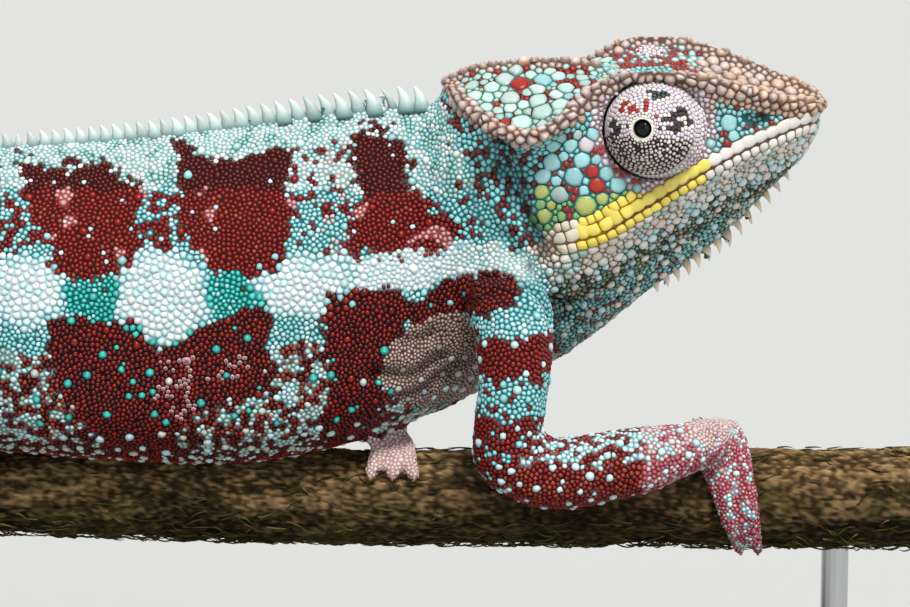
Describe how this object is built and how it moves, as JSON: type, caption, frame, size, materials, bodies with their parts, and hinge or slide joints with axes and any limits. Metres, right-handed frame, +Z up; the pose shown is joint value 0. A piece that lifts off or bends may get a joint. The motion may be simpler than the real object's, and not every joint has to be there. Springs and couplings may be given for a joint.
{
  "type": "panther chameleon",
  "caption": "Life-size panther chameleon walking along a short cut length of branch, held up by thin rods on a flat display base.",
  "frame": {"origin": "middle of the stand's underside", "axes": "+X the way the animal walks, +Y to its left, +Z up"},
  "size_m": [0.2436, 0.084, 0.1102],
  "materials": {
    "skin": "beaded scales, satin",
    "head_skin": "plates and tubercles, satin",
    "foot_skin": "fine beaded scales, satin",
    "eye_skin": "fine beaded scales in rings, satin",
    "eyeball": "wet gloss",
    "claw": "horn, satin",
    "bark": "rough mossy bark",
    "base_wood": "dark stained, satin",
    "rod_steel": "brushed"
  },
  "bodies": {
    "root": {"head": "head_skin", "lower_jaw": "head_skin", "neck": "skin", "trunk_front": "skin", "trunk_rear": "skin", "tail_1": "skin", "tail_2": "skin", "tail_3": "skin", "tail_4": "skin", "tail_5": "skin", "arm_right_upper": "skin", "arm_right_lower": "skin", "arm_left_upper": "skin", "arm_left_lower": "skin", "leg_right_upper": "skin", "leg_right_lower": "skin", "leg_left_upper": "skin", "leg_left_lower": "skin", "hand_right": "foot_skin", "hand_left": "foot_skin", "foot_right": "foot_skin", "foot_left": "foot_skin", "eye_turret_right": "eye_skin", "eye_turret_left": "eye_skin", "eyeball_right": "eyeball", "eyeball_left": "eyeball", "claw_hand_right_outer_1": "claw", "claw_hand_right_outer_2": "claw", "claw_hand_right_inner_1": "claw", "claw_hand_right_inner_2": "claw", "claw_hand_right_inner_3": "claw", "claw_hand_left_inner_1": "claw", "claw_hand_left_inner_2": "claw", "claw_hand_left_inner_3": "claw", "claw_hand_left_outer_1": "claw", "claw_hand_left_outer_2": "claw", "claw_foot_right_outer_1": "claw", "claw_foot_right_outer_2": "claw", "claw_foot_right_outer_3": "claw", "claw_foot_right_inner_1": "claw", "claw_foot_right_inner_2": "claw", "claw_foot_left_inner_1": "claw", "claw_foot_left_inner_2": "claw", "claw_foot_left_outer_1": "claw", "claw_foot_left_outer_2": "claw", "claw_foot_left_outer_3": "claw", "perch": "bark", "stand_base": "base_wood", "stand_rod_rear": "rod_steel", "stand_rod_front": "rod_steel"}
  },
  "joints": []
}
